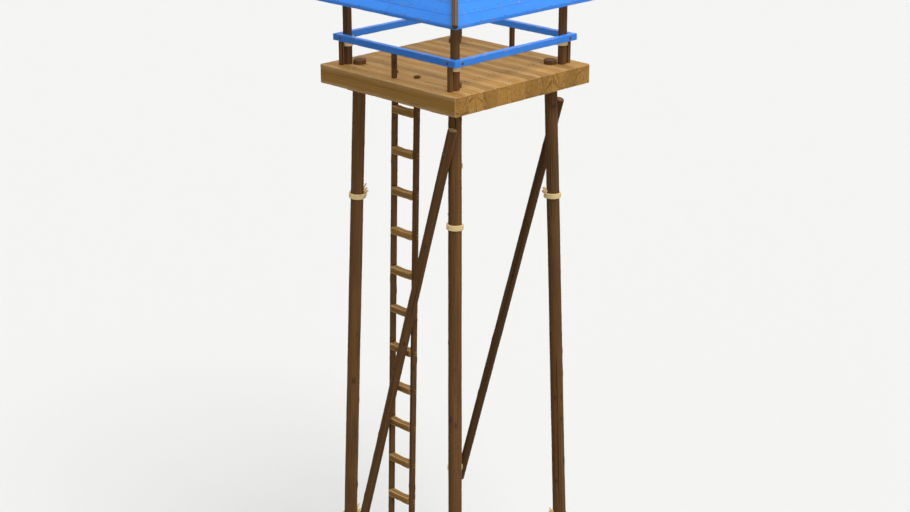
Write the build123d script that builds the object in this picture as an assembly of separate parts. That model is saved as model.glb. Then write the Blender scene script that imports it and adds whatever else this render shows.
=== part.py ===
from build123d import *
import os

# Pole-built lookout tower, in millimetres, with the origin on the ground at its centre.
# The ladder climbs the front, which faces -Y.

# Clearance between pieces that seat on each other, and the overrun of cutting tools
fit = 0.3
overrun = 20

# Deck of squared timbers laid side by side along X, the legs passing through one near each edge
deck_height = 10200
deck_side = 3000
deck_depth = 305
leg_timber_width = 300
inner_timbers = 6
timber_gap = 4
deck_chamfer = 16

# Four raked and tapered legs, set back from the deck's edge and splayed out towards the ground
leg_setback = 444
leg_splay = 278
leg_foot_dia = 228
leg_head_dia = 203
leg_stand_up = 70

# Two bearers under the deck, housed round the legs, with splayed ends
bearer_width = 140
bearer_depth = 120
bearer_end_depth = 40
bearer_housing = 20
bearer_end_setback = 105
bearer_splay = 205

# Ladder between the front legs: two round rails with squared rungs let into them
ladder_rail_dia = 104
ladder_half_width = 245
ladder_stand_up = 30
rung_length = 460
rung_depth = 120
rung_height = 116
rung_set_out = 24
rung_chamfer = 7
rung_pitch = 656
rung_deck_drop = 563
rung_ground_gap = 300

# One long brace pole outside the front legs and one outside the back legs
brace_dia = 150
brace_cope = 15
front_brace_drop = 976
front_brace_low = 330
front_brace_head = 390
back_brace_drop = 700
back_brace_low = 2100
back_brace_head = 110
brace_tail = 160

# Rope lashings: wide ones round the legs, narrow ones round the canopy posts
leg_rope_dia = 28
leg_rope_turns = 4
leg_lashing_drop = 2160
leg_lashing_low = 2245
post_rope_dia = 17
post_rope_turns = 5
post_lashing_drop = 5

# Canopy posts set back from the deck's edge, and the shorter posts under the guard rails
post_setback = 315
post_dia = 140
rail_post_step_out = 15
rail_post_dia = 90

# Square ring of guard rails outside the canopy posts
rail_width = 90
rail_depth = 105
rail_lift = 377

# Square pyramid roof of thick boards on four eave plates, with a pole over each hip
eave_overhang = 39
roof_rise = 1539
roof_thickness = 57
eave_lift = 1007
plate_width = 100
plate_depth = 120
plate_bevel_rise = 25
hip_pole_dia = 96
hip_pole_lift = 30
hip_pole_overhang = 45

corners = {"front_left": (-1, -1), "front_right": (1, -1), "back_right": (1, 1), "back_left": (-1, 1)}
sides = ("front", "right", "back", "left")

deck_half = deck_side / 2
deck_under = deck_height - deck_depth
deck_middle = deck_height - deck_depth / 2
leg_head_spread = deck_half - leg_setback
leg_foot_spread = leg_head_spread + leg_splay
post_spread = deck_half - post_setback
roof_half = deck_half + eave_overhang
roof_slope = roof_rise / roof_half
eave_height = deck_height + eave_lift
reach = deck_side + leg_foot_spread
leg_lashing_heights = {"upper": deck_height - leg_lashing_drop, "lower": leg_lashing_low}


def pole(start, end, start_radius, end_radius, seam=(0, 1, 0)):
    """Round pole between two points, tapered where its radii differ, its seam away from any cuts."""
    axis = Vector(*end) - Vector(*start)
    foot = Plane(origin=start, x_dir=seam, z_dir=axis)
    if start_radius == end_radius:
        return Solid.make_cylinder(start_radius, axis.length, foot)
    return Solid.make_cone(start_radius, end_radius, axis.length, foot)


def between(low, high):
    """Wide block that keeps what lies between two heights."""
    return Pos(0, 0, (low + high) / 2) * Box(reach, reach, high - low)


def side_wedge():
    """Upright wedge over the front quarter of the plan, for pieces mitred at the corners."""
    outline = make_face(Polyline((0, 0), (-reach, -reach), (reach, -reach), close=True))
    return extrude(outline, amount=deck_height + reach)


def leg_spread(height):
    return leg_foot_spread + (leg_head_spread - leg_foot_spread) * height / deck_height


def leg_radius(height):
    return (leg_foot_dia + (leg_head_dia - leg_foot_dia) * height / deck_height) / 2


def leg_point(corner, height):
    across, along = corners[corner]
    return (across * leg_spread(height), along * leg_spread(height), height)


def leg_pole(corner, growth=0):
    low = -overrun
    high = deck_height + leg_stand_up + overrun
    return pole(
        leg_point(corner, low),
        leg_point(corner, high),
        leg_radius(low) + growth,
        leg_radius(high) + growth,
    )


def legs():
    whole = between(0, deck_height + leg_stand_up)
    return {f"leg_{corner}": leg_pole(corner) & whole for corner in corners}


def leg_holes():
    return [leg_pole(corner, fit) for corner in corners]


def ladder_rail_pole(across, growth=0):
    low = -overrun
    high = deck_height + ladder_stand_up + overrun
    radius = ladder_rail_dia / 2 + growth
    ends = [(across * ladder_half_width, -leg_spread(height), height) for height in (low, high)]
    return pole(*ends, radius, radius, (across, 0, 0))


def rung_blocks(growth=0):
    """Squared rungs between the rails, standing out in front of their raked plane."""
    top = deck_height - rung_deck_drop
    count = int((top - rung_ground_gap) / rung_pitch) + 1
    blocks = []
    for step in range(count):
        height = top - step * rung_pitch
        middle = -leg_spread(height) - rung_set_out
        block = Box(rung_length + 2 * growth, rung_depth + 2 * growth, rung_height + 2 * growth)
        if growth == 0:
            block = chamfer(block.edges().filter_by(Axis.X), rung_chamfer)
        blocks.append(Pos(0, middle, height) * block)
    return blocks


def ladder():
    whole = between(0, deck_height + ladder_stand_up)
    right_rail = (ladder_rail_pole(1) & whole) - rung_blocks(fit)
    return {
        "ladder_rungs": Compound(rung_blocks()),
        "ladder_rail_left": mirror(right_rail, Plane.YZ),
        "ladder_rail_right": right_rail,
    }


def deck():
    block = Pos(0, 0, deck_middle) * Box(deck_side, deck_side, deck_depth)
    softened = block.edges().group_by(Axis.Z)[-1] + block.edges().filter_by(Axis.Z)
    block = chamfer(softened, deck_chamfer)
    inner = leg_spread(deck_middle) - leg_timber_width / 2
    pitch = 2 * inner / inner_timbers
    seams = [step * pitch - inner for step in range(inner_timbers + 1)]
    seams += [-inner - leg_timber_width, inner + leg_timber_width]
    saw = Box(deck_side + overrun, timber_gap, deck_depth + overrun)
    cuts = [Pos(0, seam, deck_middle) * saw for seam in seams]
    rail_holes = [ladder_rail_pole(across, fit) for across in (-1, 1)]
    return {"deck_timbers": block - cuts - leg_holes() - rail_holes}


def bearers():
    end = deck_half - bearer_end_setback
    full = end - bearer_splay
    low = deck_under - bearer_depth
    shallow = deck_under - bearer_end_depth
    outline = Polyline(
        (0, -end, deck_under),
        (0, end, deck_under),
        (0, end, shallow),
        (0, full, low),
        (0, -full, low),
        (0, -end, shallow),
        close=True,
    )
    beam = extrude(make_face(outline), amount=bearer_width / 2, dir=(1, 0, 0), both=True)
    middle = leg_spread(deck_under) - leg_radius(deck_under) + bearer_housing - bearer_width / 2
    return {
        f"bearer_{name}": (Pos(across * middle, 0, 0) * beam) - leg_holes()
        for name, across in (("left", -1), ("right", 1))
    }


def lashing_seat(corner, height):
    """Plane square to a raked leg at the middle of a lashing."""
    rake = Vector(*leg_point(corner, deck_height)) - Vector(*leg_point(corner, 0))
    return Plane(origin=leg_point(corner, height), z_dir=rake)


def rope_space(core_radius, rope_dia, turns):
    """Room that a notch leaves for a lashing to pass."""
    return Cylinder(core_radius + rope_dia + 2 * fit, turns * rope_dia + 2 * fit)


def brace(along, drop, low, head):
    """Brace from the right leg, high up, down to the left leg, coped over both and notched for rope."""
    ends = []
    for across, height in ((-1, low), (1, deck_height - drop)):
        out = leg_spread(height) + leg_radius(height) + brace_dia / 2 - brace_cope
        ends.append(Vector(across * leg_spread(height), along * out, height))
    line = (ends[1] - ends[0]).normalized()
    foot = ends[0] - line * brace_tail
    top = ends[1] + line * head
    blank = pole(tuple(foot), tuple(top), brace_dia / 2, brace_dia / 2, (0, along, 0))
    notches = [
        lashing_seat(corner, height).location * rope_space(leg_radius(height), leg_rope_dia, leg_rope_turns)
        for corner in corners
        for height in leg_lashing_heights.values()
    ]
    return blank - leg_holes() - notches


def braces():
    return {
        "brace_front": brace(-1, front_brace_drop, front_brace_low, front_brace_head),
        "brace_back": brace(1, back_brace_drop, back_brace_low, back_brace_head),
    }


def lashing(core_radius, rope_dia, turns):
    """Rope wound round a pole, turn beside turn, centred on the Z axis at the origin."""
    inner = core_radius + fit
    crown = inner + rope_dia / 2
    low = -turns * rope_dia / 2
    lines = [Polyline((crown, 0, -low), (inner, 0, -low), (inner, 0, low), (crown, 0, low))]
    for turn in range(turns):
        start = low + turn * rope_dia
        lines.append(
            ThreePointArc(
                (crown, 0, start),
                (inner + rope_dia, 0, start + rope_dia / 2),
                (crown, 0, start + rope_dia),
            )
        )
    return revolve(make_face(lines), Axis.Z)


def leg_lashings():
    def ring(corner, height):
        lower = height - leg_rope_turns * leg_rope_dia / 2
        rope = lashing(leg_radius(lower), leg_rope_dia, leg_rope_turns)
        return lashing_seat(corner, height).location * rope

    return {
        f"leg_lashings_{name}": Compound([ring(corner, height) for corner in corners])
        for name, height in leg_lashing_heights.items()
    }


rail_base = deck_height + rail_lift
rail_line = post_spread + post_dia / 2 + fit + rail_width / 2
post_lashing_height = rail_base - post_lashing_drop - post_rope_turns * post_rope_dia / 2


def roof_under(out):
    """Height of the roof's underside at a distance from the tower's middle plane."""
    return eave_height + (roof_half - out) * roof_slope


plate_outer = post_spread + plate_width / 2
plate_top = roof_under(plate_outer) + plate_bevel_rise
plate_base = plate_top - plate_depth


def canopy_posts():
    height = plate_base - deck_height
    post = Solid.make_cylinder(post_dia / 2, height)
    return {
        f"canopy_post_{corner}": Pos(across * post_spread, along * post_spread, deck_height) * post
        for corner, (across, along) in corners.items()
    }


def post_lashings():
    ring = lashing(post_dia / 2, post_rope_dia, post_rope_turns)
    rings = [
        Pos(across * post_spread, along * post_spread, post_lashing_height) * ring
        for across, along in corners.values()
    ]
    return {"post_lashings": Compound(rings)}


def rail_posts():
    """Short posts under the front and back rails, notched where a lashing passes behind them."""
    post = Solid.make_cylinder(rail_post_dia / 2, rail_lift)
    room = Pos(0, 0, post_lashing_height) * rope_space(post_dia / 2, post_rope_dia, post_rope_turns)
    pieces = {}
    for corner, (across, along) in corners.items():
        upright = Pos(across * (post_spread + rail_post_step_out), along * rail_line, deck_height) * post
        notch = Pos(across * post_spread, along * post_spread, 0) * room
        pieces[f"rail_post_{corner}"] = upright - notch
    for name, along in (("front", -1), ("back", 1)):
        pieces[f"rail_post_mid_{name}"] = Pos(0, along * rail_line, deck_height) * post
    return pieces


def round_the_plan(name, front_piece):
    """Repeat a piece of the front on all four sides."""
    turn = 360 / len(sides)
    return {f"{name}_{side}": Rot(0, 0, step * turn) * front_piece for step, side in enumerate(sides)}


def guard_rails():
    bar = Box(2 * rail_line + rail_width, rail_width, rail_depth)
    bar = Pos(0, -rail_line, rail_base + rail_depth / 2) * bar
    return round_the_plan("guard_rail", bar & side_wedge())


def eave_plates():
    inner = plate_outer - plate_width
    bevel = plate_outer - plate_bevel_rise / roof_slope
    outline = Polyline(
        (0, -plate_outer, plate_base),
        (0, -plate_outer, roof_under(plate_outer)),
        (0, -bevel, plate_top),
        (0, -inner, plate_top),
        (0, -inner, plate_base),
        close=True,
    )
    beam = extrude(make_face(outline), amount=plate_outer, dir=(1, 0, 0), both=True)
    return round_the_plan("eave_plate", beam & side_wedge())


def roof_panel():
    peak = eave_height + roof_rise
    outline = Polyline(
        (0, -roof_half, eave_height),
        (0, -roof_half, eave_height + roof_thickness),
        (0, 0, peak + roof_thickness),
        (0, 0, peak),
        close=True,
    )
    slab = extrude(make_face(outline), amount=roof_half, dir=(1, 0, 0), both=True)
    return slab & side_wedge()


def hip_poles():
    """Poles over the four hips, hollowed to sit on the ridge, mitred at the peak, past the eave below."""
    panel = roof_panel()
    left_panel = Rot(0, 0, -360 / len(sides)) * panel
    corner = Vector(-roof_half, -roof_half, eave_height + roof_thickness)
    peak = Vector(0, 0, eave_height + roof_thickness + roof_rise)
    line = (peak - corner).normalized()
    square_up = Plane(origin=corner, x_dir=(1, -1, 0), z_dir=line).y_dir
    lift = square_up * hip_pole_lift * (1 if square_up.Z > 0 else -1)
    foot = corner + lift - line * hip_pole_overhang
    top = peak + lift + line * hip_pole_dia
    blank = pole(tuple(foot), tuple(top), hip_pole_dia / 2, hip_pole_dia / 2)
    quarter = Pos(-reach / 2, -reach / 2, deck_height + reach / 2) * Box(reach, reach, reach)
    fitted = (blank & quarter) - panel - left_panel
    turn = 360 / len(corners)
    return {f"hip_pole_{name}": Rot(0, 0, step * turn) * fitted for step, name in enumerate(corners)}


os.makedirs("parts", exist_ok=True)
assembly = {
    **legs(),
    **leg_lashings(),
    **bearers(),
    **deck(),
    **ladder(),
    **braces(),
    **canopy_posts(),
    **post_lashings(),
    **rail_posts(),
    **guard_rails(),
    **eave_plates(),
    **round_the_plan("roof_panel", roof_panel()),
    **hip_poles(),
}
for node, shape in assembly.items():
    export_step(shape, f"parts/{node}.step")
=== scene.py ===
import math

import bpy
import numpy as np
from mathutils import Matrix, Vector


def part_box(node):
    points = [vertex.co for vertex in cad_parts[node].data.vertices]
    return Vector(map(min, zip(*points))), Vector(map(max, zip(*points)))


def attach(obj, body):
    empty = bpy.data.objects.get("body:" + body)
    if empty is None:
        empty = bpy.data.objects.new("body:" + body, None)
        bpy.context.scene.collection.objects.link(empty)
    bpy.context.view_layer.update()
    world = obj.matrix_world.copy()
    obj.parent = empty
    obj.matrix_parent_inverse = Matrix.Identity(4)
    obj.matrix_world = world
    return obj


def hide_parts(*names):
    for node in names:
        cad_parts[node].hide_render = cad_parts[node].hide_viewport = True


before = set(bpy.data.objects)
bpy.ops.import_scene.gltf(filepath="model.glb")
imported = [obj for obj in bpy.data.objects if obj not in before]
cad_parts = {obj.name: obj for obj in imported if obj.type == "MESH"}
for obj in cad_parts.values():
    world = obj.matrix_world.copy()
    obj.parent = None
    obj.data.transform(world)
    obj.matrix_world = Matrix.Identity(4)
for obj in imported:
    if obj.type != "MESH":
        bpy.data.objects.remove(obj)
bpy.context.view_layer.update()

# Legs: four long peeled poles, raked inwards and tapering to the top. They stand on level-cut
# feet, pass through the outer deck timbers and end just above the deck with a sawn, eased end.
# The wood is brown and weathered, with drying cracks, knots and rings on the cut ends.
leg_foot_radius = 0.114
leg_top_radius = 0.1014
corners = {"front_left": (-1, -1), "front_right": (1, -1), "back_right": (1, 1), "back_left": (-1, 1)}
full_turn = 2 * math.pi


def box_of(node):
    """Lowest and highest corner of a node of the frame."""
    return tuple(np.array(corner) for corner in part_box(node))


leg_low, leg_high = box_of("leg_front_right")
leg_top = leg_high[2]
leg_foot_spread = leg_high[0] - leg_foot_radius
leg_top_spread = leg_low[0] + leg_top_radius


def leg_centre(corner, height):
    spread = leg_foot_spread + (leg_top_spread - leg_foot_spread) * height / leg_top
    across, along = corners[corner]
    return np.array((across * spread, along * spread, height))


def leg_radius(height):
    return leg_foot_radius + (leg_top_radius - leg_foot_radius) * height / leg_top


def closed_skin(points, fields):
    """Closed tube through rings of points; each end narrows in three rings to a middle point."""
    cap_shares = (0.35, 0.7, 0.95)
    caps = len(cap_shares)

    def narrowed(ring, share):
        middle = ring.mean(axis=0)
        return middle + (ring - middle) * share

    def capped(rings):
        head = [narrowed(rings[0], share) for share in cap_shares]
        tail = [narrowed(rings[-1], share) for share in reversed(cap_shares)]
        ends = [rings[0].mean(axis=0), rings[-1].mean(axis=0)]
        return np.concatenate((np.array(head), rings, np.array(tail))), np.array(ends)

    grid, ends = capped(points)
    count, around = grid.shape[:2]
    index = np.arange(count * around).reshape(count, around)
    turned = np.roll(index, -1, axis=1)
    quads = np.stack((index[:-1], turned[:-1], turned[1:], index[1:]), axis=-1).reshape(-1, 4)
    first = np.full(around, count * around)
    head_fan = np.stack((first, turned[0], index[0]), axis=-1)
    tail_fan = np.stack((first + 1, index[-1], turned[-1]), axis=-1)
    values = {}
    for name, field in fields.items():
        inner, middle = capped(field)
        if name in ("edge", "end"):
            for cut_face in (inner[:caps], inner[-caps:], middle):
                cut_face[:] = name == "end"
        width = field.shape[2:]
        values[name] = np.concatenate((inner.reshape((-1,) + width), middle.reshape((-1,) + width)))
    faces = quads.tolist() + head_fan.tolist() + tail_fan.tolist()
    return np.concatenate((grid.reshape(-1, 3), ends)), faces, values


def put_in_scene(name, data):
    made = bpy.data.objects.new(name, data)
    bpy.context.scene.collection.objects.link(made)
    return made


def piece(name, skins, material, sharp_degrees=38):
    """One object on the tower's body, joined from closed skins, with their fields as attributes."""
    points = []
    faces = []
    start = 0
    for skin_points, skin_faces, _ in skins:
        points.append(skin_points)
        faces += [[corner + start for corner in face] for face in skin_faces]
        start += len(skin_points)
    mesh = bpy.data.meshes.new(name)
    mesh.from_pydata(np.concatenate(points).tolist(), [], faces)
    for field in skins[0][2]:
        values = np.concatenate([skin[2][field] for skin in skins])
        vector = values.ndim == 2
        attribute = mesh.attributes.new(field, "FLOAT_VECTOR" if vector else "FLOAT", "POINT")
        attribute.data.foreach_set("vector" if vector else "value", values.astype(np.float32).ravel())
    mesh.shade_smooth()
    mesh.set_sharp_from_angle(angle=math.radians(sharp_degrees))
    mesh.materials.append(material)
    made = put_in_scene(name, mesh)
    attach(made, "root")
    return made


def peeled_pole(start, end, radii, seed, level=False, extra_rings=(), around=36, ring_gap=0.045):
    """Rings of a peeled pole: slightly oval and lumpy, with knots and long drying cracks."""
    eased_end = 0.007
    knot_gap = 0.55
    knot_length = 0.055
    knot_width = 0.034
    knot_rise = 0.0055
    crack_gap = 2.2
    crack_lines = 4
    crack_half_width = 0.0072
    crack_depth = 0.012
    crack_sides = np.array((-0.0075, -0.0025, 0, 0.0025, 0.0075))

    chance = np.random.default_rng(seed)
    start = np.asarray(start, float)
    line = np.asarray(end, float) - start
    length = np.linalg.norm(line)
    axis = line / length
    side = np.array((1.0, 0, 0))
    up = np.array((0, 1.0, 0))
    if not level:
        side = np.cross(axis, (0, 0, 1.0))
        side /= np.linalg.norm(side)
        up = np.cross(axis, side)
    steps = np.linspace(2 * eased_end, length - 2 * eased_end, max(4, round(length / ring_gap)))
    steps = np.concatenate((steps, np.asarray(extra_rings, float)))
    steps = np.sort(np.concatenate(((0, eased_end, length - eased_end, length), steps)))

    cracks = max(2, round(length / crack_gap))
    crack_turns = chance.uniform(0, full_turn, min(cracks, crack_lines))
    mean_radius = (radii[0] + radii[1]) / 2
    beside_cracks = (crack_turns[:, None] + crack_sides / mean_radius).ravel() % full_turn
    angles = np.linspace(0, full_turn, around, endpoint=False)
    along, angle = np.meshgrid(steps, np.sort(np.concatenate((angles, beside_cracks))), indexing="ij")

    def turned_from(turn):
        return (angle - turn + math.pi) % full_turn - math.pi

    # Waves are shares of the radius, with their rates in radians per turn and per metre.
    radius = radii[0] + (radii[1] - radii[0]) * along / length
    phase = chance.uniform(0, full_turn, 6)
    oval = 0.010 * np.sin(2 * angle + phase[0] + 0.5 * along)
    oval += 0.007 * np.sin(3 * angle + phase[1] - 0.9 * along)
    lumps = 0.008 * np.sin(2.1 * along + phase[2]) + 0.006 * np.sin(5.3 * along + phase[3] + angle)
    radius = radius * (0.992 + oval + lumps)

    knot = np.zeros_like(along)
    for _ in range(round(length / knot_gap)):
        middle = chance.uniform(0, length)
        turn = chance.uniform(0, full_turn)
        size = chance.uniform(0.7, 1.2)
        lengthwise = (along - middle) / (knot_length * size)
        crosswise = turned_from(turn) * mean_radius / (knot_width * size)
        far = lengthwise**2 + crosswise**2
        radius += knot_rise * size * np.exp(-far)
        knot = np.maximum(knot, np.exp(-2.2 * far))

    crack = np.zeros_like(along)
    for _ in range(cracks):
        turn = crack_turns[chance.integers(len(crack_turns))]
        middle = chance.uniform(0, length)
        reach = chance.uniform(0.35, 1.1)
        gap = np.abs(turned_from(turn)) * mean_radius
        run = np.clip(1 - ((along - middle) / reach) ** 2, 0, 1)
        crack = np.maximum(crack, np.clip(1 - gap / crack_half_width, 0, 1) * np.sqrt(run))
    radius -= crack_depth * crack
    radius[[0, -1]] -= eased_end

    twist = angle + chance.uniform(-0.05, 0.05) * along
    flat = np.stack((radius * np.cos(twist), radius * np.sin(twist)), axis=-1)
    points = start + along[..., None] * axis + flat[..., :1] * side + flat[..., 1:] * up
    own_stretch = 17.0 * (seed % 97)
    grain = np.stack((radius * np.cos(angle), radius * np.sin(angle), along + own_stretch), axis=-1)
    tone = np.full_like(along, chance.uniform(-1, 1))
    fields = {"grain": grain, "tone": tone, "knot": knot, "crack": crack, "end": np.zeros_like(along)}
    return points, fields


def feed(node, inputs):
    """Links each input of a node whose value is a socket, and sets any other."""
    for name, value in inputs.items():
        if isinstance(value, bpy.types.NodeSocket):
            node.id_data.links.new(value, node.inputs[name])
        else:
            node.inputs[name].default_value = value


def add_node(tree, kind, inputs=None, **settings):
    """Adds a node with its settings and inputs, and returns its outputs."""
    node = tree.nodes.new(kind)
    for name, value in settings.items():
        setattr(node, name, value)
    feed(node, inputs or {})
    return node.outputs


def reckoned(operation, first, second=0.0, third=0.0):
    """Result of a sum, in the node tree of its first value, as are the four that follow."""
    values = {0: first, 1: second, 2: third}
    return add_node(first.id_data, "ShaderNodeMath", values, operation=operation)[0]


def ramp_between(value, low, high, to_low=0.0, to_high=1.0):
    inputs = {"Value": value, "From Min": low, "From Max": high, "To Min": to_low, "To Max": to_high}
    return add_node(value.id_data, "ShaderNodeMapRange", inputs, interpolation_type="SMOOTHSTEP")[0]


def tinted(share, first, second):
    """Mix of two colours by a share."""
    inputs = {0: share, 6: first, 7: second}
    return add_node(share.id_data, "ShaderNodeMix", inputs, data_type="RGBA")[2]


def along_grain(grain, across, along, detail=3.0):
    """Noise drawn out along the wood's fibres, with its rate across and along them per metre."""
    rates = {0: grain, 1: (across, across, along)}
    stretched = add_node(grain.id_data, "ShaderNodeVectorMath", rates, operation="MULTIPLY")[0]
    inputs = {"Vector": stretched, "Scale": 1.0, "Detail": detail, "Roughness": 0.6}
    return add_node(grain.id_data, "ShaderNodeTexNoise", inputs)[0]


def roughened(height, strength, relief):
    """Normal of a surface that a height makes uneven."""
    inputs = {"Strength": strength, "Distance": relief, "Height": height}
    return add_node(height.id_data, "ShaderNodeBump", inputs)[0]


def shared_effect(name, inputs, outputs):
    """Shader node group with named sockets; returns it with its given values and its output node."""
    kinds = {float: "NodeSocketFloat", tuple: "NodeSocketColor", str: "NodeSocketVector"}
    group = bpy.data.node_groups.new(name, "ShaderNodeTree")
    for socket, value in inputs.items():
        made = group.interface.new_socket(socket, in_out="INPUT", socket_type=kinds[type(value)])
        if not isinstance(value, str):
            made.default_value = value
    for socket, kind in outputs.items():
        group.interface.new_socket(socket, in_out="OUTPUT", socket_type=kinds[kind])
    return group, group.nodes.new("NodeGroupInput").outputs, group.nodes.new("NodeGroupOutput")


# Figure of the wood: yearly rings round the heart, long streaks and fine fibres.
timber_figure, given, result = shared_effect(
    "timber figure",
    {
        "Grain": "vector",
        "Tone": 0.0,
        "Ring Pitch": 0.008,
        "Pale": (0.5, 0.3, 0.12, 1),
        "Deep": (0.2, 0.1, 0.04, 1),
    },
    {"Color": tuple, "Height": float},
)
crossways = {0: given["Grain"], 1: (1, 1, 0)}
crossways = add_node(timber_figure, "ShaderNodeVectorMath", crossways, operation="MULTIPLY")[0]
heart = add_node(timber_figure, "ShaderNodeVectorMath", {0: crossways}, operation="LENGTH")["Value"]
flow = along_grain(given["Grain"], 7.0, 0.9)
heart = reckoned("MULTIPLY_ADD", flow, 0.016, heart)
rings = reckoned("DIVIDE", heart, given["Ring Pitch"])
rings = reckoned("SINE", reckoned("MULTIPLY", rings, full_turn))
rings = ramp_between(rings, -0.6, 1.0)
years = {"W": reckoned("MULTIPLY", heart, 24.0), "Scale": 1.0, "Detail": 3.0, "Roughness": 0.7}
years = add_node(timber_figure, "ShaderNodeTexNoise", years, noise_dimensions="1D")[0]
fibre = along_grain(given["Grain"], 160.0, 4.0)
streak = along_grain(given["Grain"], 34.0, 0.5)
depth = reckoned("MULTIPLY", ramp_between(streak, 0.3, 0.7), 0.38)
depth = reckoned("MULTIPLY_ADD", ramp_between(years, 0.35, 0.7), 0.3, depth)
depth = reckoned("MULTIPLY_ADD", rings, 0.16, depth)
depth = reckoned("MULTIPLY_ADD", ramp_between(fibre, 0.3, 0.7), 0.2, depth)
wood = tinted(depth, given["Pale"], given["Deep"])
brightness = reckoned("MULTIPLY_ADD", given["Tone"], 0.16, 1.0)
wood = add_node(timber_figure, "ShaderNodeHueSaturation", {"Value": brightness, "Color": wood})[0]
relief = reckoned("MULTIPLY_ADD", fibre, 0.6, reckoned("MULTIPLY", streak, 0.7))
relief = reckoned("MULTIPLY_ADD", rings, 0.25, relief)
feed(result, {"Color": wood, "Height": relief})

# Weather on bare wood: dark cracks, knots and end splits, sun-bleached tops, damp near the ground, and
# arrises lightened as rubbed wear and painted highlight.
knot_brown = (0.045, 0.023, 0.011, 1)
bleached_grey = (0.33, 0.29, 0.235, 1)
# Pale tan for the arrises: partly rubbed wear, partly a painted highlight along the edges.
edge_wear_and_highlight_tan = (0.66, 0.43, 0.20, 1)
damp_green = (0.03, 0.028, 0.014, 1)
crack_dark = (0.014, 0.009, 0.006, 1)
damp_height = 1.1
weather, given, result = shared_effect(
    "weather on wood",
    {
        "Color": (0.5, 0.3, 0.1, 1),
        "Grain": "vector",
        "Height": 0.0,
        "Crack": 0.0,
        "Knot": 0.0,
        "Bleach": 0.35,
        "Edge": 0.0,
        "End": 0.0,
    },
    {"Color": tuple, "Height": float, "Roughness": float},
)
hairline = ramp_between(along_grain(given["Grain"], 80.0, 0.7, 2.0), 0.61, 0.68)
dark = reckoned("MAXIMUM", reckoned("MULTIPLY", hairline, 0.55), given["Crack"])
from_heart = add_node(weather, "ShaderNodeSeparateXYZ", {0: given["Grain"]})
bearing = reckoned("MULTIPLY", reckoned("ARCTAN2", from_heart[1], from_heart[0]), 1.1)
bearing = reckoned("MULTIPLY_ADD", from_heart[2], 7.3, bearing)
split = add_node(weather, "ShaderNodeTexNoise", {"W": bearing, "Scale": 1.0}, noise_dimensions="1D")[0]
split = reckoned("ABSOLUTE", reckoned("SUBTRACT", split, 0.5))
split = reckoned("MULTIPLY", ramp_between(split, 0.014, 0.003), given["End"])
dark = reckoned("MAXIMUM", dark, reckoned("MULTIPLY", split, 0.6))
surface = add_node(weather, "ShaderNodeNewGeometry")["Normal"]
facing_up = add_node(weather, "ShaderNodeSeparateXYZ", {0: surface})[2]
patches = along_grain(given["Grain"], 9.0, 1.3)
bleached = reckoned("MULTIPLY", ramp_between(facing_up, 0.1, 0.9, 0.25, 1.0), patches)
bleached = reckoned("MULTIPLY", bleached, given["Bleach"])
# Mask that lightens the arrises: partly rubbed wear, partly a painted highlight.
rubbed_and_highlit = ramp_between(along_grain(given["Grain"], 30.0, 3.0), 0.3, 0.7, 0.25, 0.8)
rubbed_and_highlit = reckoned("MULTIPLY", rubbed_and_highlit, given["Edge"])
own_place = add_node(weather, "ShaderNodeTexCoord")["Object"]
height = add_node(weather, "ShaderNodeSeparateXYZ", {0: own_place})[2]
damp = ramp_between(height, damp_height, 0.0)
damp = reckoned("MULTIPLY", damp, ramp_between(patches, 0.25, 0.7))
worn = tinted(given["Knot"], given["Color"], knot_brown)
worn = tinted(bleached, worn, bleached_grey)
# Painted highlight and rubbed wear on the arrises.
worn = tinted(rubbed_and_highlit, worn, edge_wear_and_highlight_tan)
worn = tinted(reckoned("MULTIPLY", damp, 0.75), worn, damp_green)
worn = tinted(dark, worn, crack_dark)
relief = reckoned("MULTIPLY_ADD", dark, -1.6, given["Height"])
feed(result, {"Color": worn, "Height": relief, "Roughness": ramp_between(patches, 0.2, 0.8, 0.62, 0.86)})


def effect(tree, group, inputs):
    return add_node(tree, "ShaderNodeGroup", inputs, node_tree=group)


def carried(tree, name):
    """A field that the mesh carries as an attribute."""
    outputs = add_node(tree, "ShaderNodeAttribute", attribute_name=name)
    return outputs["Vector" if name == "grain" else "Fac"]


def new_finish(name):
    """Fresh material, with its nodes and its shader."""
    material = bpy.data.materials.new(name)
    material.use_nodes = True
    return material, material.node_tree, material.node_tree.nodes["Principled BSDF"]


def dress(shader, looks, shine, strength, relief):
    """Gives a shader its colour, roughness, shine and uneven surface."""
    feed(shader, {"Base Color": looks["Color"], "Roughness": looks["Roughness"]})
    feed(shader, {"Specular IOR Level": shine, "Normal": roughened(looks["Height"], strength, relief)})


def bare_wood(name, pale, deep, ring_pitch, bleach, fresh_cut=0.0):
    """Weathered bare wood that shows its figure on every face, and paler wood where freshly cut."""
    cut_tan = (0.42, 0.24, 0.095, 1)
    material, tree, shader = new_finish(name)
    grain = carried(tree, "grain")
    body = {"Grain": grain, "Tone": carried(tree, "tone")}
    figure = {"Ring Pitch": ring_pitch, "Pale": pale, "Deep": deep}
    figure = effect(tree, timber_figure, {**body, **figure})
    cut = tinted(reckoned("MULTIPLY", carried(tree, "end"), fresh_cut), figure["Color"], cut_tan)
    looks = {"Color": cut, "Grain": grain, "Height": figure["Height"], "Bleach": bleach}
    looks.update({field.title(): carried(tree, field) for field in ("crack", "knot", "edge", "end")})
    dress(shader, effect(tree, weather, looks), shine=0.15, strength=0.7, relief=0.004)
    return material


pole_pale = (0.190, 0.089, 0.027, 1)
pole_deep = (0.069, 0.031, 0.009, 1)
pole_ring_pitch = 0.009
pole_bleach = 0.12
pole_wood = bare_wood("weathered pole wood", pole_pale, pole_deep, pole_ring_pitch, pole_bleach)
for number, corner in enumerate(corners):
    ends = (leg_centre(corner, 0), leg_centre(corner, leg_top))
    skin = peeled_pole(*ends, (leg_foot_radius, leg_top_radius), seed=11 + number, level=True)
    leg = piece(f"peeled_leg_{corner}", [closed_skin(*skin)], pole_wood)
    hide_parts(f"leg_{corner}")

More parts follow.
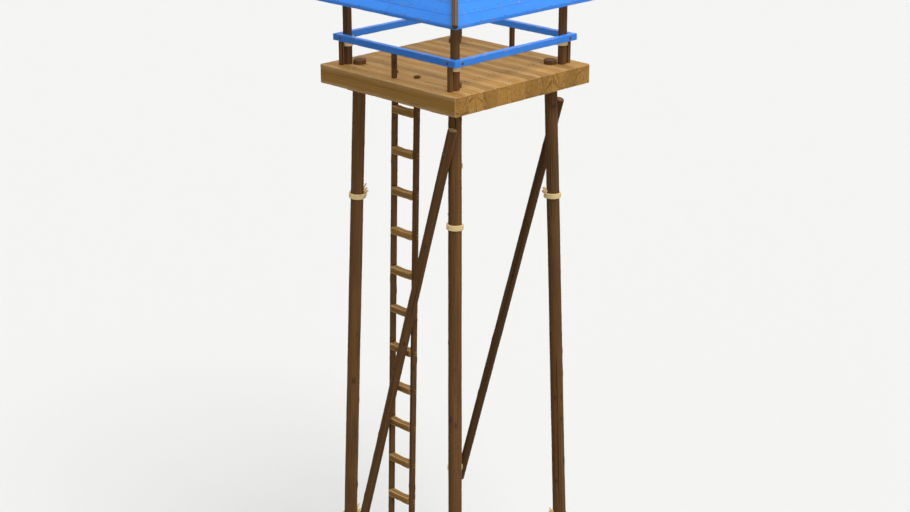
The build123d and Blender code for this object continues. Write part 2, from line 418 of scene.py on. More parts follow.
# Bearers: two sawn beams under the deck, running front to back inside the legs and housed round
# them. Their ends are cut back at a slant below, and the deck timbers are spiked down to them.
sawn_pale = (0.54, 0.289, 0.070, 1)
sawn_deep = (0.305, 0.145, 0.030, 1)
sawn_ring_pitch = 0.011
sawn_bleach = 0.06
sawn_wood = bare_wood("sawn deck wood", sawn_pale, sawn_deep, sawn_ring_pitch, sawn_bleach)


def squared_section(width, height, arris, spans=(3, 3)):
    """Outline of a squared timber with eased arrises, and a field that marks the arrises."""
    half_width = width / 2
    half_height = height / 2
    flats = (
        ((half_width, -half_height + arris), (half_width, half_height - arris), spans[1]),
        ((half_width - arris, half_height), (-half_width + arris, half_height), spans[0]),
        ((-half_width, half_height - arris), (-half_width, -half_height + arris), spans[1]),
        ((-half_width + arris, -half_height), (half_width - arris, -half_height), spans[0]),
    )
    outline = []
    edge = []
    for first, last, count in flats:
        shares = np.linspace(0, 1, count + 1)[:, None]
        outline.append(np.array(first) * (1 - shares) + np.array(last) * shares)
        edge += [1.0] + [0.0] * (count - 1) + [1.0]
    return np.concatenate(outline), np.array(edge)


def squared_timber(
    origin, axis, side, section, edge, ends, seed, heart=(0.05, -0.3), ring_gap=0.11, bow=0.0015
):
    """Rings of a sawn timber along an axis. The ends give each outline point's start and stop."""
    eased_end = 0.006
    rounded_end = 0.004
    nick_depth = 0.006
    chance = np.random.default_rng(seed)
    origin, axis, side = (np.asarray(value, float) for value in (origin, axis, side))
    up = np.cross(axis, side)
    start, stop = (np.broadcast_to(np.asarray(value, float), len(section)) for value in ends)
    length = float(np.mean(stop - start))
    eased_share = min(eased_end / max(length, 0.02), 0.1)
    count = max(3, round(length / ring_gap))
    shares = np.linspace(2 * eased_share, 1 - 2 * eased_share, count)
    shares = np.concatenate(((0, eased_share), shares, (1 - eased_share, 1)))
    along = start + shares[:, None] * (stop - start)
    phase = chance.uniform(0, full_turn, 4)
    wave = bow * (np.sin(2.6 * along + phase[0]) + 0.6 * np.sin(6.1 * along + phase[1]))
    nicks = np.clip(np.sin(9.0 * along + phase[2]) * np.sin(23.0 * along + phase[3]) - 0.25, 0, 1)
    middle = section.mean(axis=0)
    reach = np.linalg.norm(section - middle, axis=1)
    growth = 1 + (wave - nick_depth * edge * nicks) / reach
    growth[[0, -1]] -= rounded_end / reach
    flat = middle + (section - middle) * growth[..., None]
    points = origin + along[..., None] * axis + flat[..., :1] * side + flat[..., 1:] * up
    heart = np.array(heart) * chance.choice((-1, 1), 2)
    own_stretch = 3.0 * (seed % 89)
    grain = np.concatenate((flat - heart, (along + own_stretch)[..., None]), axis=-1)
    tone = np.full_like(along, chance.uniform(-1, 1))
    edges = np.broadcast_to(edge, along.shape).copy()
    edges[[0, -1]] = 1
    fields = {"grain": grain, "tone": tone, "edge": edges}
    fields.update({name: np.zeros_like(along) for name in ("knot", "crack", "end")})
    return points, fields


bearer_arris = 0.006
bearer_end_depth = 0.040
bearer_splay = 0.205
for number, name in enumerate(("left", "right")):
    low, high = box_of(f"bearer_{name}")
    width, length, depth = high - low
    section, edge = squared_section(width, depth, bearer_arris)
    ends = (-length / 2, length / 2)
    skin = squared_timber((low + high) / 2, (0, 1, 0), (1, 0, 0), section, edge, ends, seed=31 + number)
    points = skin[0]
    from_end = length / 2 - np.abs(points[..., 1])
    underside = high[2] - bearer_end_depth - from_end * (depth - bearer_end_depth) / bearer_splay
    points[..., 2] = np.maximum(points[..., 2], underside)
    bearer = piece(f"sawn_bearer_{name}", [closed_skin(*skin)], sawn_wood)
    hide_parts(f"bearer_{name}")

# Deck: heavy squared timbers laid side by side across the bearers, their sawn ends showing on the
# left and right edges. The two outer timbers but one carry the legs; spikes hold each to a bearer.
deck_low, deck_high = box_of("deck_timbers")
deck_top = deck_high[2]
deck_depth = deck_top - deck_low[2]
deck_half = deck_high[1]
leg_timber_width = 0.300
inner_timbers = 6
timber_gap = 0.004
timber_arris = 0.012
deck_chamfer = 0.018
deck_middle = deck_top - deck_depth / 2
inner_line = leg_centre("back_right", deck_middle)[1] - leg_timber_width / 2
seams = np.linspace(-inner_line, inner_line, inner_timbers + 1).tolist()
seams = [-deck_half, -inner_line - leg_timber_width] + seams + [inner_line + leg_timber_width, deck_half]
timbers = []
for number, (near, far) in enumerate(zip(seams[:-1], seams[1:])):
    section, edge = squared_section(far - near - timber_gap, deck_depth, timber_arris, (4, 4))
    middle = (0, (near + far) / 2, deck_middle)
    ends = (-deck_half, deck_half)
    sawing = {"seed": 41 + number, "heart": (0.03, -0.12), "ring_gap": 0.10}
    skin = squared_timber(middle, (1, 0, 0), (0, 1, 0), section, edge, ends, **sawing)
    points = skin[0]
    over = np.maximum(np.abs(points[..., :2]) - deck_half + deck_chamfer, 0)
    points[..., 2] = np.minimum(points[..., 2], deck_top - over.max(axis=-1))
    past_corner = np.abs(points[..., 0]) + np.abs(points[..., 1]) - 2 * deck_half + deck_chamfer
    past_corner = np.maximum(past_corner, 0)
    points[..., :2] -= np.sign(points[..., :2]) * past_corner[..., None] / 2
    timbers.append(closed_skin(*skin))
deck = piece("deck_timber_floor", timbers, sawn_wood)
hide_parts("deck_timbers")

# Ladder: two slim peeled poles set in the plane of the front legs, with deep squared treads let into
# housings on their inner sides. The treads are sawn wood darkened by use and worn hollow on top by
# feet, and each end is pinned by two wooden pegs.
ladder_low, ladder_high = box_of("ladder_rail_right")
ladder_radius = (ladder_high[0] - ladder_low[0]) / 2
ladder_across = (ladder_high[0] + ladder_low[0]) / 2
ladder_top = ladder_high[2]
rung_low, rung_high = box_of("ladder_rungs")
rung_half = (rung_high[0] - rung_low[0]) / 2
rung_height = 0.116
rung_depth = 0.120
rung_set_out = 0.024
rung_arris = 0.009
rung_wear = 0.011
rung_wear_spread = 0.12
rung_count = 15
rung_heights = np.linspace(rung_low[2] + rung_height / 2, rung_high[2] - rung_height / 2, rung_count)
rung_pale = (0.405, 0.217, 0.053, 1)
rung_deep = (0.229, 0.109, 0.023, 1)


def ladder_plane(height):
    return leg_centre("front_left", height)[1]


housing_shares = np.array((-1.03, -1.006, -0.5, 0, 0.5, 1.006, 1.03))
housing_rings = [height + step for height in rung_heights for step in rung_height / 2 * housing_shares]
for number, (name, side) in enumerate((("left", -1), ("right", 1))):
    skin = peeled_pole(
        (side * ladder_across, ladder_plane(0), 0),
        (side * ladder_across, ladder_plane(ladder_top), ladder_top),
        (ladder_radius, ladder_radius),
        seed=61 + number,
        level=True,
        extra_rings=housing_rings,
        around=40,
    )
    points = skin[0]
    beside = np.abs(points[..., 2:] - rung_heights).min(axis=-1) < rung_height / 2 * 1.01
    behind = ladder_plane(points[..., 2]) - rung_set_out + rung_depth / 2
    housed = beside & (points[..., 1] < behind + 0.001)
    housing_floor = side * np.maximum(side * points[..., 0], rung_half)
    points[..., 0] = np.where(housed, housing_floor, points[..., 0])
    rail = piece(f"ladder_pole_{name}", [closed_skin(*skin)], pole_wood)
    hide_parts(f"ladder_rail_{name}")

rungs = []
section, edge = squared_section(rung_depth, rung_height, rung_arris, (5, 4))
for number, height in enumerate(rung_heights):
    middle = (0, ladder_plane(height) - rung_set_out, height)
    ends = (-rung_half, rung_half)
    sawing = {"seed": 71 + number, "heart": (0.02, 0.05), "ring_gap": 0.03, "bow": 0.0008}
    skin = squared_timber(middle, (1, 0, 0), (0, 1, 0), section, edge, ends, **sawing)
    points = skin[0]
    near_top = np.clip((points[..., 2] - height) / (rung_height / 2), 0, 1)
    points[..., 2] -= rung_wear * near_top**3 * np.exp(-((points[..., 0] / rung_wear_spread) ** 2))
    rungs.append(closed_skin(*skin))
rung_wood = bare_wood("worn rung wood", rung_pale, rung_deep, sawn_ring_pitch, sawn_bleach)
treads = piece("ladder_tread_set", rungs, rung_wood)
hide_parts("ladder_rungs")

# Braces: one long peeled pole outside the front legs and one outside the back legs, each from high
# on the right leg to low on the left leg. They are hollowed to fit over the legs and their ropes,
# bolted through, and sawn off square, so that paler wood shows on the cut ends.
brace_radius = 0.075
brace_cope = 0.015
brace_drop = {"front": 0.976, "back": 0.700}
brace_low = {"front": 0.330, "back": 2.100}
brace_head = {"front": 0.390, "back": 0.110}
brace_tail = 0.160
brace_deep = (0.068, 0.030, 0.009, 1)
leg_rope = 0.028
leg_rope_turns = 4
lashing_levels = []
for name in ("upper", "lower"):
    low, high = box_of(f"leg_lashings_{name}")
    lashing_levels.append((low[2] + high[2]) / 2)


def coped(points, corner):
    """Moves what would lie inside a leg, or inside its rope, out to the surface."""
    fit = 0.0005
    rope_fit = 0.001
    lean = (leg_centre(corner, 1) - leg_centre(corner, 0))[:2]
    away = points[..., :2] - leg_centre(corner, 0)[:2] - points[..., 2:] * lean
    far = np.linalg.norm(away, axis=-1, keepdims=True)
    rope_half = leg_rope * leg_rope_turns / 2 + 0.004
    roped = np.abs(points[..., 2:] - np.array(lashing_levels)).min(axis=-1, keepdims=True) < rope_half
    surface = leg_radius(points[..., 2:]) + fit + np.where(roped, leg_rope + rope_fit, 0)
    points[..., :2] += np.where(far < surface, away / far * (surface - far), 0)


brace_wood = bare_wood(
    "brace wood with pale cut ends", pole_pale, brace_deep, pole_ring_pitch, pole_bleach, fresh_cut=0.9
)
brace_bolts = []
for number, (name, along) in enumerate((("front", -1), ("back", 1))):
    crossings = []
    for side, height in (("left", brace_low[name]), ("right", deck_top - brace_drop[name])):
        centre = leg_centre(f"{name}_{side}", height)
        centre[1] += along * (leg_radius(height) + brace_radius - brace_cope)
        crossings.append(centre)
        brace_bolts.append((centre + np.array((0, along * brace_radius, 0)), (0, along, 0)))
    line = (crossings[1] - crossings[0]) / np.linalg.norm(crossings[1] - crossings[0])
    ends = (crossings[0] - line * brace_tail, crossings[1] + line * brace_head[name])
    skin = peeled_pole(*ends, (brace_radius, brace_radius), seed=91 + number, around=48, ring_gap=0.03)
    for side in ("left", "right"):
        coped(skin[0], f"{name}_{side}")
    brace = piece(f"peeled_brace_{name}", [closed_skin(*skin)], brace_wood)
    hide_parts(f"brace_{name}")

# Canopy posts: four short peeled poles standing on the deck near its corners, under the eave
# plates. The six rail posts beside and between them are slimmer and stop under the guard rails.
upright = np.array((0, 0, 1.0))
upright_poles = {}
for number, corner in enumerate(corners):
    upright_poles[f"canopy_post_{corner}"] = {"seed": 112 + number, "around": 32}
    upright_poles[f"rail_post_{corner}"] = {"seed": 110 + number, "around": 26}
for number, name in enumerate(("front", "back")):
    upright_poles[f"rail_post_mid_{name}"] = {"seed": 131 + number, "around": 26}
for node, shaping in upright_poles.items():
    low, high = box_of(node)
    radius = (high[0] - low[0]) / 2
    foot = np.append((low[:2] + high[:2]) / 2, low[2])
    if "mid" in node:
        foot[0] = 0
    top = foot + upright * (high[2] - low[2])
    skin = peeled_pole(foot, top, (radius, radius), level=True, ring_gap=0.03, **shaping)
    post = piece(f"peeled_{node}", [closed_skin(*skin)], pole_wood)
    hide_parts(node)

# Guard rails: four squared rails, mitred into a ring outside the canopy posts and bolted to them.
# They are painted bright blue; the paint has faded a little and chipped along the arrises.
faded_blue = (0.16, 0.40, 0.85, 1)
worn_paint, given, result = shared_effect(
    "worn paint",
    {
        "Grain": "vector",
        "Edge": 0.0,
        "Tone": 0.0,
        "Relief": 0.0,
        "Paint": (0.07, 0.28, 0.79, 1),
        "Bare": (0.4, 0.25, 0.1, 1),
    },
    {"Color": tuple, "Height": float, "Roughness": float},
)
chips = along_grain(given["Grain"], 52.0, 13.0, 4.0)
chips = reckoned("MULTIPLY_ADD", given["Edge"], 0.13, chips)
chips = ramp_between(chips, 0.70, 0.73)
flakes = ramp_between(along_grain(given["Grain"], 75.0, 2.0), 0.74, 0.77)
gone = reckoned("MAXIMUM", chips, flakes)
fade = along_grain(given["Grain"], 5.0, 1.6)
brushed = along_grain(given["Grain"], 120.0, 1.5)
shade = reckoned("MULTIPLY_ADD", fade, 0.24, reckoned("MULTIPLY_ADD", brushed, 0.12, 0.82))
shade = reckoned("MULTIPLY_ADD", given["Tone"], 0.06, shade)
coat = add_node(worn_paint, "ShaderNodeHueSaturation", {"Value": shade, "Color": given["Paint"]})[0]
coat = tinted(ramp_between(fade, 0.5, 0.9, 0.0, 0.16), coat, faded_blue)
coat = tinted(gone, coat, given["Bare"])
film = reckoned("MULTIPLY_ADD", brushed, 0.35, reckoned("MULTIPLY", gone, -1.0))
film = reckoned("MULTIPLY_ADD", given["Relief"], 0.5, film)
feed(result, {"Color": coat, "Height": film, "Roughness": ramp_between(gone, 0.0, 1.0, 0.42, 0.8)})


def painted_wood(name, paint):
    """Blue paint over sawn wood, with the wood showing where the paint is gone."""
    chipped_pale = (0.46, 0.34, 0.2, 1)
    chipped_deep = (0.25, 0.16, 0.085, 1)
    material, tree, shader = new_finish(name)
    body = {"Grain": carried(tree, "grain"), "Tone": carried(tree, "tone")}
    figure = {"Ring Pitch": sawn_ring_pitch, "Pale": chipped_pale, "Deep": chipped_deep}
    bare = effect(tree, timber_figure, {**body, **figure})
    coat = {"Edge": carried(tree, "edge"), "Paint": paint}
    coat.update({"Bare": bare["Color"], "Relief": bare["Height"]})
    looks = effect(tree, worn_paint, {**body, **coat})
    dress(shader, looks, shine=0.2, strength=0.6, relief=0.002)
    return material


rail_paint = painted_wood("worn rail paint", (0.041, 0.24, 0.78, 1))
sides = {
    "front": np.array(((-1, 0, 0), (0, -1, 0))),
    "right": np.array(((0, -1, 0), (1, 0, 0))),
    "back": np.array(((1, 0, 0), (0, 1, 0))),
    "left": np.array(((0, 1, 0), (-1, 0, 0))),
}
rail_low, rail_high = box_of("guard_rail_right")
rail_width, _, rail_depth = rail_high - rail_low
rail_line = (rail_low[0] + rail_high[0]) / 2
rail_middle = (rail_low[2] + rail_high[2]) / 2
rail_arris = 0.007


def mitred_timber(name, line, height, section, edge, **sawing):
    """Rings of a sawn timber along one side of the tower, mitred at both corners."""
    axis, out = sides[name]
    mitre = line + section[:, 0]
    middle = out * line + upright * height
    return squared_timber(middle, axis, out, section, edge, (-mitre, mitre), **sawing)


for number, name in enumerate(sides):
    section, edge = squared_section(rail_width, rail_depth, rail_arris)
    sawing = {"seed": 141 + number, "heart": (0.02, 0.09), "ring_gap": 0.08, "bow": 0.0008}
    skin = mitred_timber(name, rail_line, rail_middle, section, edge, **sawing)
    rail = piece(f"blue_rail_{name}", [closed_skin(*skin)], rail_paint)
    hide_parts(f"guard_rail_{name}")

# Eave plates: four sawn beams on top of the canopy posts, mitred at the corners, with the outer
# top edge planed to the slope of the roof that rests on it.
plate_low, plate_high = box_of("eave_plate_right")
plate_width, _, plate_depth = plate_high - plate_low
plate_line = (plate_low[0] + plate_high[0]) / 2
plate_middle = (plate_low[2] + plate_high[2]) / 2
plate_arris = 0.005
plate_clearance = 0.001
roof_low, roof_high = box_of("roof_panel_right")
roof_half = roof_high[0]
eave = roof_low[2]
roof_upright = 0.057
roof_slope = (roof_high[2] - roof_upright - eave) / roof_half
for number, name in enumerate(sides):
    section, edge = squared_section(plate_width, plate_depth, plate_arris)
    underside = eave + (roof_half - plate_line - section[:, 0]) * roof_slope - plate_middle
    section[:, 1] = np.minimum(section[:, 1], underside - plate_clearance)
    sawing = {"seed": 151 + number, "heart": (0.02, 0.1), "ring_gap": 0.12, "bow": 0.0006}
    skin = mitred_timber(name, plate_line, plate_middle, section, edge, **sawing)
    plate = piece(f"sawn_eave_plate_{name}", [closed_skin(*skin)], sawn_wood)
    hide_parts(f"eave_plate_{name}")

# Roof: four slopes of thick boards running level from hip to hip, each lapped a little over the one
# below, butted here and there and mitred at the hips. They are nailed, and painted a slightly
# brighter blue than the rails. The lowest course is cut plumb.
pitch = math.atan(roof_slope)
slope_length = roof_half / math.cos(pitch)
roof_thickness = roof_upright * math.cos(pitch)
courses = 11
course = slope_length / courses
course_cover = 0.02
lap = 0.009
board = roof_thickness - lap
board_ease = 0.004
board_wear = np.array([0.6, 1.0] + [0.0] * 8 + [1.0])
mitre_clearance = 0.0008
shortest_half = 0.004
longest_half = 1.0
butt_range = 0.55
butt_gap = 0.001
nail_pitch = 0.5
nail_inset = 0.045
nail_hip_gap = 0.08
nail_sink = 0.001
blue_paint = painted_wood("worn blue paint", (0.046, 0.27, 0.90, 1))


def on_slope(up_slope, off):
    """Distance from the tower's middle, and height, of a point up the slope and off its underside."""
    away = roof_half - up_slope * math.cos(pitch) + off * math.sin(pitch)
    return away, eave + up_slope * math.sin(pitch) + off * math.cos(pitch)


def course_section(step):
    """Outline of one course of boards, tilted to lie on the course below."""
    low_edge = step * course
    high_edge = min((step + 1) * course + course_cover, slope_length)
    span = np.linspace(low_edge, high_edge, 5)
    lifted = lap * (high_edge - span) / (high_edge - low_edge)
    under = np.stack((span, lifted if step else 0 * lifted), axis=-1)
    over = np.stack((span, lifted + board), axis=-1)[::-1]
    over[-1, 1] -= board_ease
    butt = (low_edge + 0.0005, (under[0, 1] + over[-1, 1]) / 2)
    outline = np.concatenate((under, over, [butt]))
    if step == 0:
        outline[:, 0] = np.maximum(outline[:, 0], outline[:, 1] * math.tan(pitch))
    return np.stack(on_slope(outline[:, 0], outline[:, 1]), axis=-1)[::-1]


roof_nails = []
for number, (name, (axis, out)) in enumerate(sides.items()):
    boards = []
    for step in range(courses):
        section = course_section(step)
        mitre = np.maximum(section[:, 0] - mitre_clearance, shortest_half)
        seed = 161 + number * courses + step
        butt = np.random.default_rng(seed).uniform(-butt_range, butt_range)
        spans = [(-mitre, mitre)]
        if mitre.max() > longest_half:
            spans = [(-mitre, butt - butt_gap), (butt + butt_gap, mitre)]
        for part, ends in enumerate(spans):
            sawing = {"seed": seed + 60 * part, "heart": (-0.6, 3.0), "ring_gap": 0.16, "bow": 0.0004}
            skin = squared_timber((0, 0, 0), axis, out, section, board_wear, ends, **sawing)
            boards.append(closed_skin(*skin))
        nail_away, nail_height = on_slope(step * course + nail_inset, roof_thickness - nail_sink)
        for along in nail_pitch * np.arange(-3, 4):
            if abs(along) < nail_away - nail_hip_gap:
                spot = out * nail_away + axis * along + upright * nail_height
                roof_nails.append((spot, out * math.sin(pitch) + upright * math.cos(pitch)))
    slope = piece(f"blue_roof_boards_{name}", boards, blue_paint)
    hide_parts(f"roof_panel_{name}")

# Hip poles: a peeled pole laid over each hip to cover the mitred board ends, hollowed below to sit
# on the ridge and cut to meet the others at the peak. Sun has bleached them paler than the legs.
hip_radius = 0.048
hip_lift = 0.030
hip_overhang = 0.045
hip_sink = 0.004
hip_gap = 0.0004
hip_pale = (0.252, 0.143, 0.061, 1)
hip_deep = (0.106, 0.055, 0.021, 1)
bleached_pole = bare_wood("sun-bleached pole wood", hip_pale, hip_deep, pole_ring_pitch, bleach=0.28)
for number, (corner, (across, along)) in enumerate(corners.items()):
    foot = np.array((across * roof_half, along * roof_half, eave + roof_upright))
    peak = np.array((0, 0, eave + roof_upright + roof_half * roof_slope))
    line = (peak - foot) / np.linalg.norm(peak - foot)
    lift = upright - line * line[2]
    lift *= hip_lift / np.linalg.norm(lift)
    ends = (foot + lift - line * hip_overhang, peak + lift + line * hip_radius)
    skin = peeled_pole(*ends, (hip_radius, hip_radius), seed=221 + number, around=30)
    points = skin[0]
    cover = np.maximum(np.abs(points[..., 0]), np.abs(points[..., 1]))
    ridge = eave + roof_upright + (roof_half - cover) * roof_slope - hip_sink
    points[..., 2] = np.where(cover < roof_half, np.maximum(points[..., 2], ridge), points[..., 2])
    points[..., 0] = np.maximum(points[..., 0] * across, hip_gap) * across
    points[..., 1] = np.maximum(points[..., 1] * along, hip_gap) * along
    hip = piece(f"hip_pole_cover_{corner}", [closed_skin(*skin)], bleached_pole)
    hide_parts(f"hip_pole_{corner}")

# Lashings: natural fibre rope of three twisted strands, wound tight round each leg in two places and
# round each canopy post under the rail. The ends cross over the turns and stand up, and on the legs
# two more turns are drawn tight round them as a knot.
post_rope = 0.017
post_rope_turns = 5
fibre_tan = (0.95, 0.77, 0.42, 1)
fibre_brown = (0.76, 0.57, 0.27, 1)
soiled_brown = (0.36, 0.26, 0.14, 1)
rope_fibre, tree, shader = new_finish("natural rope")
grain = carried(tree, "grain")
fuzz = along_grain(grain, 900.0, 60.0)
soil = ramp_between(along_grain(grain, 40.0, 6.0), 0.55, 0.9, 0.0, 0.4)
rope_colour = tinted(soil, tinted(fuzz, fibre_tan, fibre_brown), soiled_brown)
looks = {"Color": rope_colour, "Roughness": 0.9, "Height": fuzz}
dress(shader, looks, shine=0.15, strength=0.8, relief=0.002)


def wound_path(radius, rope, turns, facing):
    """Turn, distance from the axis and height of a lashing's rope, from end to standing end."""
    tail = 3.2 * rope
    lean = 2.0 * rope
    path_gap = 0.012
    half = turns * rope / 2
    middle = radius + rope / 2
    wraps = round(turns * full_turn * (radius + rope) / path_gap)
    wind = np.linspace(0, 1, wraps)
    turn = facing + wind * full_turn * turns
    wound = np.stack((turn, np.full(wraps, middle), half - rope / 2 - wind * (2 * half - rope)), axis=-1)
    rise = np.linspace(0, 1, 16)[1:]
    over = np.sin(rise * math.pi) ** 0.5 * rope * 0.92
    lifted = wound[-1, 2] + rise * (2 * half + 0.2 * rope)
    cross = np.stack((turn[-1] + 0.55 * rise, middle + over, lifted), axis=-1)
    up = np.linspace(0, 1, 10)[1:]
    last = np.stack((cross[-1, 0] + 0.1 * up, middle + lean * up**1.5, cross[-1, 2] + up * tail), axis=-1)
    first = np.stack((facing - 0.1 * up, middle + 0.7 * lean * up**1.5, wound[0, 2] + up * tail), axis=-1)
    return np.concatenate((first[::-1], wound, cross, last))


def rope_skins(path, origin, axis, rope):
    """Three twisted strands along a wound path round an axis."""
    strands = 3
    strand_offset = 0.245 * rope
    strand_radius = 0.262 * rope
    lay = 3.6 * rope
    axis = np.asarray(axis, float) / np.linalg.norm(axis)
    side = np.cross((0, 1.0, 0), axis)
    side /= np.linalg.norm(side)
    up = np.cross(axis, side)
    out = np.cos(path[:, :1]) * side + np.sin(path[:, :1]) * up
    core = np.asarray(origin) + out * path[:, 1:2] + axis * path[:, 2:]
    ahead = np.gradient(core, axis=0)
    ahead /= np.linalg.norm(ahead, axis=1, keepdims=True)
    across = np.cross(ahead, out)
    across /= np.linalg.norm(across, axis=1, keepdims=True)
    outward = np.cross(across, ahead)
    run = np.concatenate(([0], np.cumsum(np.linalg.norm(np.diff(core, axis=0), axis=1))))
    ring = np.linspace(0, full_turn, 6, endpoint=False)
    flat = strand_radius * np.stack((np.cos(ring), np.sin(ring)), axis=-1)
    skins = []
    for strand in range(strands):
        twist = full_turn * (run / lay + strand / strands)
        aside = np.cos(twist)[:, None] * outward + np.sin(twist)[:, None] * across
        centre = (core + strand_offset * aside)[:, None]
        points = centre + flat[None, :, :1] * outward[:, None] - flat[None, :, 1:] * across[:, None]
        grain = np.zeros(points.shape)
        grain[..., 0] = flat[:, 0] + 0.05 * strand
        grain[..., 1] = flat[:, 1]
        grain[..., 2] = run[:, None] + 5.0 * origin[0] + 3.0 * origin[1]
        skins.append(closed_skin(points, {"grain": grain}))
    return skins


def knot_skins(origin, axis, radius, rope, turns, facing):
    """Two turns drawn tight round the crossed ends of a lashing, on the side that it is tied."""
    path_points = 60
    knot_turns = 2.1
    axis = np.asarray(axis, float) / np.linalg.norm(axis)
    inward = np.array((math.cos(facing), math.sin(facing), 0))
    lifted = (turns / 2 + 0.35) * rope
    centre = np.asarray(origin) + inward * (radius + 1.15 * rope) + axis * lifted
    coil = np.linspace(0, 1, path_points)
    drawn = np.full(path_points, 0.95 * rope)
    path = np.stack((coil * knot_turns * full_turn, drawn, (coil - 0.5) * 1.9 * rope), axis=-1)
    return rope_skins(path, centre, axis + 0.75 * inward, rope)


for node in ("leg_lashings_upper", "leg_lashings_lower", "post_lashings"):
    low, high = box_of(node)
    level = (low[2] + high[2]) / 2
    skins = []
    for corner, (across, along) in corners.items():
        inward = math.atan2(-along, -across)
        if node == "post_lashings":
            foot, head = box_of(f"canopy_post_{corner}")
            middle = np.append((foot[:2] + head[:2]) / 2, level)
            path = wound_path((head[0] - foot[0]) / 2 + 0.0005, post_rope, post_rope_turns, inward)
            skins += rope_skins(path, middle, upright, post_rope)
        else:
            middle = leg_centre(corner, level)
            rake = leg_centre(corner, leg_top) - leg_centre(corner, 0)
            path = wound_path(leg_radius(level) + 0.001, leg_rope, leg_rope_turns, inward)
            skins += rope_skins(path, middle, rake, leg_rope)
            skins += knot_skins(middle, rake, leg_radius(level), leg_rope, leg_rope_turns, inward)
    lashing = piece(f"rope_{node}", skins, rope_fibre, sharp_degrees=80)
    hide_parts(node)

# Fixings: iron bolts with square washers through the braces and domed bolts through the rails,
# spikes that hold the deck timbers to the bearers, nails in the roof boards, and wooden pegs in the
# ladder. The iron is dark and crusted with rust.
clean_iron = (0.075, 0.073, 0.07, 1)
rust_orange = (0.16, 0.062, 0.022, 1)
rust_brown = (0.055, 0.026, 0.014, 1)
rusted_iron, tree, shader = new_finish("rusted iron")
own_place = add_node(tree, "ShaderNodeTexCoord")["Object"]
crumbs = add_node(tree, "ShaderNodeTexNoise", {"Vector": own_place, "Scale": 90.0, "Detail": 5.0})[0]
crust = ramp_between(crumbs, 0.42, 0.62)
rust = tinted(crumbs, rust_orange, rust_brown)
looks = {"Color": tinted(crust, clean_iron, rust), "Height": crumbs}
looks["Roughness"] = ramp_between(crust, 0.0, 1.0, 0.45, 0.9)
dress(shader, looks, shine=0.5, strength=0.5, relief=0.001)
feed(shader, {"Metallic": ramp_between(crust, 0.0, 1.0, 0.8, 0.0)})

# Each profile gives the radius at steps along the axis, from the wood outwards.
washer_profile = ((0.042, -0.012), (0.042, 0.004), (0.039, 0.006))
nut_profile = ((0.021, 0.004), (0.021, 0.020), (0.017, 0.023))
stud_profile = ((0.011, 0.015), (0.011, 0.032), (0.008, 0.035))
dome_profile = ((0.024, -0.004), (0.024, 0.003), (0.018, 0.009), (0.009, 0.012))
spike_profile = ((0.013, -0.004), (0.013, 0.001), (0.008, 0.004))
nail_profile = ((0.008, -0.006), (0.008, 0.001), (0.005, 0.0025))
peg_profile = ((0.0115, -0.006), (0.0115, 0.004), (0.0085, 0.007))


def turned_head(point, out, profile, around, grain_shift=0):
    """Closed skin of a head, nut or washer; one with few sides has a flat side level."""
    out = np.asarray(out, float) / np.linalg.norm(out)
    side = np.cross(out, (0.31, 0.59, 0.75) if around > 8 else upright)
    side /= np.linalg.norm(side)
    up = np.cross(out, side)
    ring = np.linspace(0, full_turn, around, endpoint=False) + math.pi / around
    spread = np.cos(ring)[:, None] * side + np.sin(ring)[:, None] * up
    profile = np.array(profile)
    points = np.asarray(point) + profile[:, :1, None] * spread + profile[:, 1:, None] * out
    fields = {"grain": points - np.asarray(point) + grain_shift}
    fields.update({name: np.zeros(points.shape[:2]) for name in ("tone", "knot", "crack", "edge")})
    return closed_skin(points, fields)


irons = []
for point, out in brace_bolts:
    for profile, around in ((washer_profile, 4), (nut_profile, 6), (stud_profile, 12)):
        irons.append(turned_head(point, out, profile, around))
post_low, post_high = box_of("canopy_post_back_right")
post_line = (post_low[0] + post_high[0]) / 2
for axis, out in sides.values():
    for across in (-post_line, post_line):
        spot = axis * across + out * (rail_line + rail_width / 2) + upright * rail_middle
        irons.append(turned_head(spot, out, dome_profile, 16))
piece("iron_bolts", irons, rusted_iron)

spike_stray = 0.014
spikes = []
chance = np.random.default_rng(301)
for name in ("left", "right"):
    low, high = box_of(f"bearer_{name}")
    for near, far in zip(seams[:-1], seams[1:]):
        for share in (0.3, 0.7):
            spot = np.array(((low[0] + high[0]) / 2, near + (far - near) * share, deck_top))
            spot[:2] += chance.uniform(-spike_stray, spike_stray, 2)
            spikes.append(turned_head(spot, upright, spike_profile, 10))
spikes += [turned_head(spot, out, nail_profile, 9) for spot, out in roof_nails]
piece("spikes_and_nails", spikes, rusted_iron)

peg_rise = 0.026
peg_set_out = 0.006
peg_across = ladder_across + ladder_radius * 0.955
pegs = []
for side in (-1, 1):
    for number, height in enumerate(rung_heights):
        for lift in (-peg_rise, peg_rise):
            spot = (side * peg_across, ladder_plane(height) - peg_set_out, height + lift)
            pegs.append(turned_head(spot, (side, 0, 0), peg_profile, 12, number + lift * 9))
peg_set = piece("ladder_pegs", pegs, sawn_wood)

# Studio: a pale level floor that keeps the tower's shadow, a broad soft key lamp from the right with
# a second that casts no shadow, fill lamps behind and under the roof, and pale light from all round.
# The camera stands where the photo's did.
floor_reach = 150.0


def shown_apart(tree, kind, unseen, seen):
    """Shader with one look to bounced light, and another to the eye and in reflections."""
    rays = add_node(tree, "ShaderNodeLightPath")
    looked_at = reckoned("MAXIMUM", rays["Is Camera Ray"], rays["Is Glossy Ray"])
    looked_at = reckoned("MAXIMUM", looked_at, rays["Is Transmission Ray"])
    looks = {0: looked_at, 1: add_node(tree, kind, unseen)[0], 2: add_node(tree, kind, seen)[0]}
    return add_node(tree, "ShaderNodeMixShader", looks)[0]


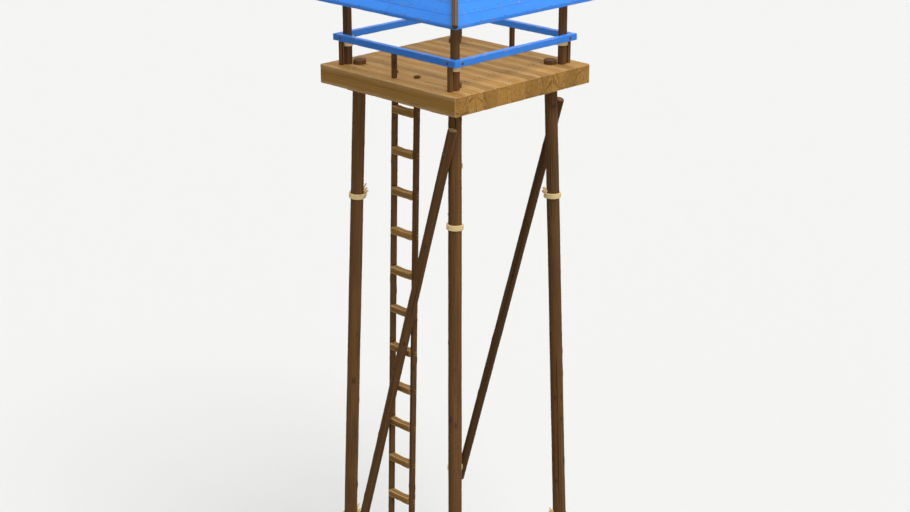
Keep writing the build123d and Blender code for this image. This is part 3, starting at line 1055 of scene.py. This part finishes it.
studio_floor, tree, shader = new_finish("studio floor")
tree.nodes.remove(shader)
quiet = {"Color": (0.25, 0.25, 0.25, 1)}
pale = {"Color": (0.80, 0.80, 0.79, 1)}
shown = shown_apart(tree, "ShaderNodeBsdfDiffuse", quiet, pale)
feed(tree.nodes["Material Output"], {"Surface": shown})
floor_mesh = bpy.data.meshes.new("studio_floor")
floor_corners = [(across * floor_reach, along * floor_reach, 0) for across, along in corners.values()]
floor_mesh.from_pydata(floor_corners, [], [(0, 1, 2, 3)])
floor_mesh.materials.append(studio_floor)
put_in_scene("studio_floor", floor_mesh)

world = bpy.data.worlds.new("studio light")
bpy.context.scene.world = world
world.use_nodes = True
tree = world.node_tree
tree.nodes.clear()
ambient = {"Color": (1, 1, 1, 1), "Strength": 0.34}
backdrop = {"Color": (0.86, 0.86, 0.85, 1), "Strength": 0.95}
shown = shown_apart(tree, "ShaderNodeBackground", ambient, backdrop)
add_node(tree, "ShaderNodeOutputWorld", {"Surface": shown})


def far_lamp(name, energy, spread_degrees, tilt, turn):
    made = put_in_scene(name, bpy.data.lights.new(name, "SUN"))
    made.data.energy = energy
    made.data.angle = math.radians(spread_degrees)
    made.rotation_euler = (tilt, 0, turn)
    return made


key_from = np.array((0.568, -0.073, 0.82))
key_tilt = math.acos(key_from[2] / np.linalg.norm(key_from))
key_turn = math.atan2(key_from[1], key_from[0]) + math.pi / 2
key_spread = 35
far_lamp("key", 1.5, key_spread, key_tilt, key_turn)
even_key = far_lamp("even_key", 1.2, key_spread, key_tilt, key_turn)
even_key.data.use_shadow = False
far_lamp("back_fill", 0.7, 70, math.radians(65), math.radians(225))
under_roof_fill = put_in_scene("under_roof_fill", bpy.data.lights.new("under_roof_fill", "AREA"))
under_roof_fill.data.energy = 18.0
under_roof_fill.data.size = 2.6
under_roof_fill.location = (0, 0, deck_top + 1.12)
under_roof_fill.visible_camera = False

view_distance = 27.92
view_turn = math.radians(45.0)
view_drop = math.radians(19.95)
look_at = np.array((0, 0, deck_top - 3.210))
focal_pixels = 1711.6
frame_pixels = 910
camera_data = bpy.data.cameras.new("photo_view")
camera_data.sensor_width = 36.0
camera_data.lens = camera_data.sensor_width * focal_pixels / frame_pixels
camera_data.clip_end = 400.0
camera = put_in_scene("photo_view", camera_data)
level_back = np.array((math.sin(view_turn), -math.cos(view_turn), 0))
view_back = level_back * math.cos(view_drop) + upright * math.sin(view_drop)
camera.location = look_at + view_back * view_distance
camera.rotation_euler = (math.pi / 2 - view_drop, 0, view_turn)
bpy.context.scene.camera = camera
bpy.context.scene.view_settings.view_transform = "Standard"
